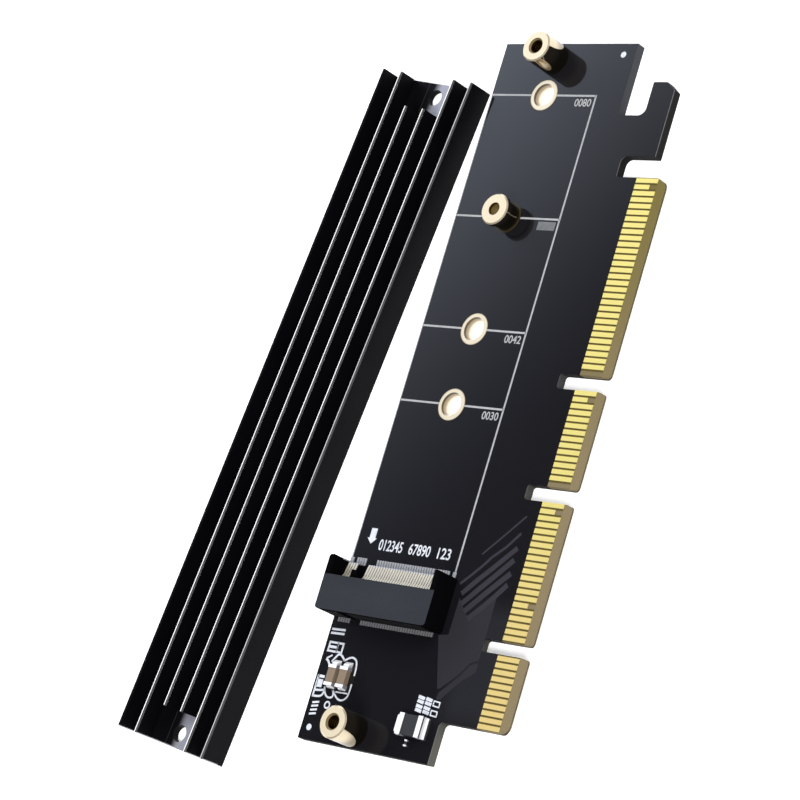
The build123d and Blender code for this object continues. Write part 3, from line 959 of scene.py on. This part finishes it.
@dataclass
class CardBoard:
    """The board: its mask, the copper that shows under the mask, and its print."""

    finishes: Finishes
    top: float = 1.65
    plain_edge: float = 37.8
    line: float = 17.17
    line_width: float = 0.3
    frame_near: float = 8.3
    number_foot: float = 1.75
    number_run: Span = (3.75, 0.6)
    number_height: float = 1.25
    block_middle: float = 0.65
    block_run: Span = (3.9, 0.5)
    block_width: float = 1.35
    pad_radius: float = 2.5
    print_height: float = 0.02
    copper_height: float = 0.012
    trace_height: float = 0.016
    sunk: float = 0.004
    dot_size: float = 0.98

    def holes(self) -> list[Vector]:
        """The middles of the module holes, in millimetres, from the near one to the far one."""
        return [centre_of(f"module_ring_{number}") / MM for number in range(1, 5)]

    def build(self) -> None:
        """Dresses the board and lays its copper and print."""
        dress(self.finishes.mask, "circuit_board")
        self.lay_copper()
        self.print_frame()
        self.print_part_marks()
        self.place_dots()

    def lay_copper(self) -> None:
        """Lays the copper areas and lines that show as paler relief under the mask."""
        sheet = Sheet(self.top - self.sunk, self.copper_height)
        sheet.area([(0.3, 16.9), (-7.4, 14.25), (-7.3, 13.8), (-5.0, 11.3), (-2.9, 9.6), (-2.3, 8.2),
                    (7.2, 8.3), (3.2, 12.1), (4.2, 13.2), (5.2, 14.2), (6.2, 15.0), (0.6, 15.1)])
        sheet.area([(-8.9, 13.9), (-7.9, 13.75), (-5.25, 10.95), (-3.2, 9.35), (-2.7, 8.2), (-4.2, 8.2),
                    (-4.9, 9.2), (-5.6, 10.2), (-7.5, 12.0), (-8.9, 13.1)])
        sheet.finish("copper_relief", self.finishes.copper_mask)
        traces = Sheet(self.top - self.sunk, self.trace_height)
        for points, width in (
            ([(3.3, 12.5), (5.5, 10.2), (7.0, 8.8), (9.1, 7.0)], 0.84),
            ([(4.3, 13.5), (7.5, 10.4), (10.8, 7.0)], 0.9),
            ([(5.3, 14.4), (8.0, 11.8), (10.0, 9.8), (12.8, 7.1)], 0.86),
            ([(6.8, 14.9), (9.0, 12.8), (11.0, 10.7), (13.0, 8.7), (14.6, 7.1)], 0.8),
            ([(8.2, 15.7), (9.6, 14.2), (11.3, 12.5), (12.8, 11.2), (14.5, 9.2), (16.8, 7.2)], 0.42),
            ([(13.0, 13.2), (16.0, 10.3), (19.4, 7.1)], 0.3),
        ):
            traces.band(points, width)
        traces.finish("trace_relief", self.finishes.trace_mask)

    def print_frame(self) -> None:
        """Prints the module's outline, a line at each length, and the lengths' numbers."""
        sheet = Sheet(self.top, self.print_height)
        holes = self.holes()
        half = self.line_width / 2
        back = self.plain_edge - 0.1
        sheet.bar((self.frame_near, self.line), (holes[-1].x + half, self.line), self.line_width)
        sheet.bar((holes[-1].x, back), (self.frame_near, back), self.line_width * 0.5)
        for hole in holes:
            for near, far in ((self.line, hole.y - self.pad_radius), (hole.y + self.pad_radius, back)):
                sheet.bar((hole.x, near), (hole.x, far), self.line_width)
        sheet.finish("frame_print", self.finishes.line_ink)
        marks = Sheet(self.top, self.print_height)
        block = Sheet(self.top, self.print_height)
        for hole, text in zip(holes, ("0030", "0042", "", "0080")):
            foot = hole.x - self.number_foot
            if text:
                start, end = ((foot, self.line + off) for off in self.number_run)
                marks.numerals(text, start, end, self.number_height)
            else:
                start, end = ((foot + self.block_middle, self.line + off) for off in self.block_run)
                block.bar(start, end, self.block_width)
        marks.finish("length_print", self.finishes.line_ink)
        block.finish("label_block", self.finishes.dull_ink)

    def print_part_marks(self) -> None:
        """Prints the arrow, the numbers by the socket and the outlines round the small parts."""
        sheet = Sheet(self.top, self.print_height)
        self._print_arrow(sheet)
        for text, start, end in (("012345", 33.2, 28.5), ("67890", 27.2, 23.0), ("123", 21.5, 19.0)):
            sheet.numerals(text, (11.35, start), (11.35, end), 1.7)
        self._print_capacitor_outlines(sheet)
        self._print_digit_block(sheet)
        sheet.finish("part_print", self.finishes.ink)

    def _print_arrow(self, sheet: Sheet) -> None:
        """Prints the arrow that shows which way the module goes in."""
        middle = 34.95
        sheet.area([(12.15, middle), (13.05, middle + 0.95), (13.05, middle + 0.55), (14.55, middle + 0.55),
                    (14.55, middle - 0.6), (13.05, middle - 0.6), (13.05, middle - 0.95)])

    def _print_capacitor_outlines(self, sheet: Sheet) -> None:
        """Prints the outlines round the capacitors and the marks beside them.

        Args:
            sheet: the sheet that takes the print.
        """
        for points, width in (
            ([(-10.1, 35.5), (-11.2, 35.1), (-11.75, 34.1), (-11.25, 33.1), (-10.3, 33.8)], 0.32),
            ([(-10.3, 33.8), (-11.5, 32.7), (-11.8, 31.5), (-11.2, 30.6), (-10.3, 30.42),
              (-9.05, 30.45)], 0.32),
            ([(-7.8, 30.45), (-5.9, 30.45), (-5.1, 31.4), (-5.25, 32.4), (-5.85, 33.2)], 0.34),
            ([(-5.85, 33.1), (-5.1, 33.9), (-4.95, 34.6), (-5.6, 35.1), (-6.3, 35.6)], 0.36),
            ([(-6.9, 35.8), (-6.2, 36.2), (-6.0, 36.8)], 0.4),
            ([(-5.9, 36.75), (-5.6, 36.2), (-5.3, 35.8)], 0.3),
            ([(-11.75, 37.3), (-11.75, 36.2), (-11.4, 35.4), (-10.6, 35.3)], 0.36),
            ([(-10.85, 37.3), (-10.8, 36.2), (-10.6, 35.4)], 0.36),
        ):
            sheet.stroke(points, width, smooth=True)
        sheet.bar((-11.9, 37.3), (-8.5, 37.3), 0.32)
        sheet.bar((-10.35, 36.7), (-9.15, 36.7), 1.15)
        sheet.bar((-8.7, 37.35), (-8.7, 36.05), 0.42)
        sheet.bar((-10.6, 33.1), (-10.55, 30.7), 0.22)
        for low, high in ((35.3, 37.0), (34.25, 35.3)):
            sheet.stroke([(-4.75, low), (-4.75, high), (-3.4, high), (-3.4, low)], 0.5, closed=True)
        sheet.bar((-4.1, 37.0), (-4.1, 35.3), 0.4)
        for x in (-2.0, -1.4):
            sheet.bar((x - 0.05, 37.4), (x + 0.05, 34.7), 0.34)
        for x in (-14.4, -13.8, -13.2, -12.65):
            sheet.bar((x - 0.1, 36.95), (x + 0.15, 35.65), 0.3)
        angles = [math.tau * step / ROUND_SIDES for step in range(ROUND_SIDES)]
        ring = [(-12.73 + 0.475 * math.cos(angle), 33.97 + 0.475 * math.sin(angle)) for angle in angles]
        sheet.stroke(ring, 0.28, closed=True)

    def _print_digit_block(self, sheet: Sheet) -> None:
        """Prints three rows of two plain signs beside the fuse.

        Args:
            sheet: the sheet that takes the print.
        """
        slant = 0.1
        for row, middle in enumerate((16.55, 15.05)):
            for column in (-10.65, -9.35):
                for side in (-0.3, 0.3):
                    x = column - row * slant + side
                    sheet.bar((x - slant, middle - 0.62), (x + slant, middle + 0.62), 0.5)
        for column in (-11.05, -9.65):
            sheet.stroke([(column - 0.36, 12.95), (column + 0.36, 12.95), (column + 0.45, 14.1),
                          (column - 0.27, 14.1)], 0.3, closed=True)

    def place_dots(self) -> None:
        """Places the two bare round dots that a placement camera looks for."""
        dots = Sheet(self.top, self.print_height)
        for middle in ((91.54, 14.25), (-16.43, 36.17)):
            dots.disc(middle, self.dot_size)
        dots.finish("placement_dots", self.finishes.ink, Slot.TIN)


@dataclass
class Studio:
    """The pale floor, the soft light and the camera."""

    lens: float = 139.4
    sensor: float = 36.0
    clip: Span = (0.01, 50.0)
    camera_place: Triple = (-60.27, -277.0, 332.44)
    camera_turn: Triple = (25.6707, 38.0943, -68.8679)
    floor_size: float = 6.0
    floor_glow: float = 0.35
    dome_level: float = 0.24
    patch: Triple = (0.047, 0.389, 0.920)
    patch_edge: Span = (0.900, 0.938)
    patch_depth: float = 0.98
    window_level: float = 2.05
    window_x: Span = (0.0, 0.33)
    window_y: Span = (0.0, 0.5)
    dusk: Triple = (-0.3656, -0.6775, 0.6383)
    dusk_edge: Span = (-0.2, -0.028)
    cool: Colour = (0.90, 1.0, 1.20, 1.0)
    cool_edge: Span = (0.5, 0.66)
    box_size: float = 0.9

    def build(self) -> None:
        """Sets up the whole studio."""
        self.place_camera()
        self.lay_floor()
        self.light_room()
        bpy.context.scene.view_settings.view_transform = "Standard"
        bpy.context.scene.view_settings.look = "None"

    def place_camera(self) -> None:
        """Places the camera at the photograph's viewing angle."""
        data = bpy.data.cameras.new("camera")
        data.lens = self.lens
        data.sensor_width = self.sensor
        data.clip_start, data.clip_end = self.clip
        camera = add_to_scene("camera", data)
        camera.location = Vector(self.camera_place) * MM
        camera.rotation_euler = Euler([math.radians(angle) for angle in self.camera_turn])
        bpy.context.scene.camera = camera

    def lay_floor(self) -> None:
        """Lays the pale floor that the card rests on."""
        recipe = Recipe.named("pale_floor")
        tone = recipe.ramp(recipe.noise(60.0, 2.0), [(0.3, grey(0.90)), (0.7, grey(0.92))])
        material = recipe.finish(tone, 0.8, Specular_IOR_Level=0.1, Emission_Color=(1, 1, 1, 1),
                                 Emission_Strength=self.floor_glow)
        work = bmesh.new()
        bmesh.ops.create_grid(work, x_segments=2, y_segments=2, size=self.floor_size / 2)
        mesh = bpy.data.meshes.new("floor")
        work.to_mesh(mesh)
        work.free()
        mesh.materials.append(material)
        floor = add_to_scene("floor", mesh)

    def light_room(self) -> None:
        """Lights the room: a pale dome with a dark patch, a soft window and two soft boxes."""
        world = bpy.data.worlds.new("room")
        bpy.context.scene.world = world
        recipe = Recipe(world)
        x, y, z = recipe.axes("Generated")
        patch, dusk = (x * way[0] + y * way[1] + z * way[2] for way in (self.patch, self.dusk))
        dome = self.dome_level * (1 - patch.rise(*self.patch_edge) * self.patch_depth)
        window = x.rise(*self.window_x) * y.rise(*self.window_y) * self.window_level
        window *= 1 - dusk.rise(*self.dusk_edge)
        recipe.glow(recipe.blend(y.rise(*self.cool_edge), (1, 1, 1, 1), self.cool), dome + window)
        self.soft_box("key_box", (-0.9, -0.5, 1.4), 36.0)
        self.soft_box("fill_box", (1.0, -0.9, 0.9), 22.0)

    def soft_box(self, name: str, place: Triple, power: float) -> None:
        """Hangs one soft box that looks at the card.

        Args:
            name: its name.
            place: where it hangs, in metres.
            power: its power in watts.
        """
        data = bpy.data.lights.new(name, "AREA")
        data.size = self.box_size
        data.energy = power
        box = add_to_scene(name, data)
        box.location = place
        box.rotation_euler = Vector(place).to_track_quat("Z", "Y").to_euler()
        box.visible_glossy = False


@dataclass
class EdgeFingers:
    """The gold contacts on both faces of the tab."""

    finishes: Finishes
    groups: int = 4

    def build(self) -> None:
        """Dresses every group."""
        for group in range(1, self.groups + 1):
            dress(self.finishes.gold, f"edge_contacts_front_{group}", f"edge_contacts_back_{group}")


@dataclass
class ModuleSide:
    """What holds the drive module: plated holes, standoff, screw, socket and posts."""

    finishes: Finishes
    seat_shade: Colour = (0.05, 0.04, 0.02, 1.0)
    seat_shade_deep: Colour = (0.04, 0.03, 0.015, 1.0)
    seat_radius: float = 2.6
    post_mouth: float = 1.305
    screw_mouth: float = 1.25

    def build(self) -> None:
        """Dresses the nodes of the module's side."""
        for number in (1, 2, 4):
            node = f"module_ring_{number}"
            middle = centre_of(node) / MM
            dress(PlatedHole((middle.x, middle.y)).make(f"hole_plating_{number}"), node)
        # painted shade: the pad under the standoff is painted dark brass
        seat = self._well("module_ring_3", self.seat_radius, 0.0)
        covered = TurnedBrass(seat, self.seat_shade, self.seat_shade_deep)
        dress(covered.make("hole_plating_painted_shade"), "module_ring_3")
        self._turn("ssd_standoff", 0.0, 0.0)
        self._turn("heatsink_post_near", self.post_mouth, 0.001)
        self._turn("heatsink_post_far", self.post_mouth, 0.001)
        self._turn("ssd_screw", self.screw_mouth, 0.02)
        dress(self.finishes.plastic, "socket_housing")
        dress(self.finishes.strip, "socket_upper_contacts", "socket_lower_contacts", "socket_hold_downs")

    @staticmethod
    def _well(node: str, radius: float, depth: float) -> Well:
        """The round hollow in a node's middle, from a depth under its top."""
        middle = centre_of(node) / MM
        return Well((middle.x, middle.y), radius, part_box(node)[1].z / MM - depth)

    def _turn(self, node: str, radius: float, depth: float) -> None:
        """Dresses a turned part with a hollow of a given radius, from a depth under its top."""
        dress(TurnedBrass(self._well(node, radius, depth)).make(f"turned_{node}"), node)


@dataclass
class PowerParts:
    """The chip parts on the near end, with their solder."""

    finishes: Finishes
    board_top: float = 1.65
    taper: float = 0.72
    rounding: float = 0.12

    def build(self) -> None:
        """Dresses the bodies and their end caps, and adds the solder."""
        dress(self.finishes.brown, "capacitor_1_body", "capacitor_2_body")
        dress(self.finishes.dark, "fuse_body", "resistor_body")
        dress(self.finishes.tin, "capacitor_1_caps", "capacitor_2_caps", "resistor_caps")
        dress(self.finishes.fuse_tin, "fuse_caps")
        self.add_solder()

    def add_solder(self) -> None:
        """Adds the solder that climbs from the board to the parts' ends."""
        work = bmesh.new()
        for number in (1, 2):
            low, high = (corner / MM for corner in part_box(f"capacitor_{number}_caps"))
            middle = (low.y + high.y) / 2
            self._fillet(work, (high.x + 0.3, middle), (1.2, 1.5, 0.75), -0.35)
            self._fillet(work, (low.x - 0.05, middle), (0.5, 1.5, 0.6), 0.1)
        low, high = (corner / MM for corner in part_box("fuse_caps"))
        middle = (low.x + high.x) / 2
        self._fillet(work, (middle, high.y + 0.1), (3.3, 1.0, 0.9), 0.0)
        self._fillet(work, (middle, low.y - 0.15), (3.3, 0.5, 0.2), 0.0)
        settle(work, "solder_fillets", self.finishes.tin)

    def _fillet(self, work: bmesh.types.BMesh, middle: Place, size: Triple, lean: float) -> None:
        """Adds a lump of solder with sloping sides.

        Args:
            work: the mesh it goes into.
            middle: the middle of its foot.
            size: its foot's length and width, and its height.
            lean: how far its top stands off its foot's middle along X.
        """
        half_way = self.board_top + size[2] / 2
        corner = math.sqrt(0.5)
        place = Matrix.Translation((*middle, half_way)) @ Matrix.Diagonal((*size, 1))
        lump = bmesh.ops.create_cone(work, cap_ends=True, segments=4, radius1=corner,
                                     radius2=corner * self.taper, depth=1,
                                     matrix=place @ Matrix.Rotation(math.pi / 4, 4, "Z"))
        top = [vert for vert in lump["verts"] if vert.co.z > half_way]
        bmesh.ops.translate(work, vec=(lean, 0, 0), verts=top)
        edges = dict.fromkeys(edge for vert in lump["verts"] for edge in vert.link_edges)
        bmesh.ops.bevel(work, geom=list(edges), offset=self.rounding, offset_type="OFFSET",
                        affect="EDGES", segments=3, profile=0.5, material=-1)


@dataclass
class Heatsink:
    """The finned extrusion that lies beside the card."""

    finishes: Finishes

    def build(self) -> None:
        """Dresses the extrusion."""
        dress(self.finishes.anodised, "heatsink")


def main() -> None:
    """Builds every sub-assembly in order."""
    logging.basicConfig(level=logging.INFO, format="%(message)s")
    finishes = Finishes()
    Studio().build()
    CardBoard(finishes).build()
    EdgeFingers(finishes).build()
    ModuleSide(finishes).build()
    PowerParts(finishes).build()
    Heatsink(finishes).build()


if __name__ == "__main__":
    main()
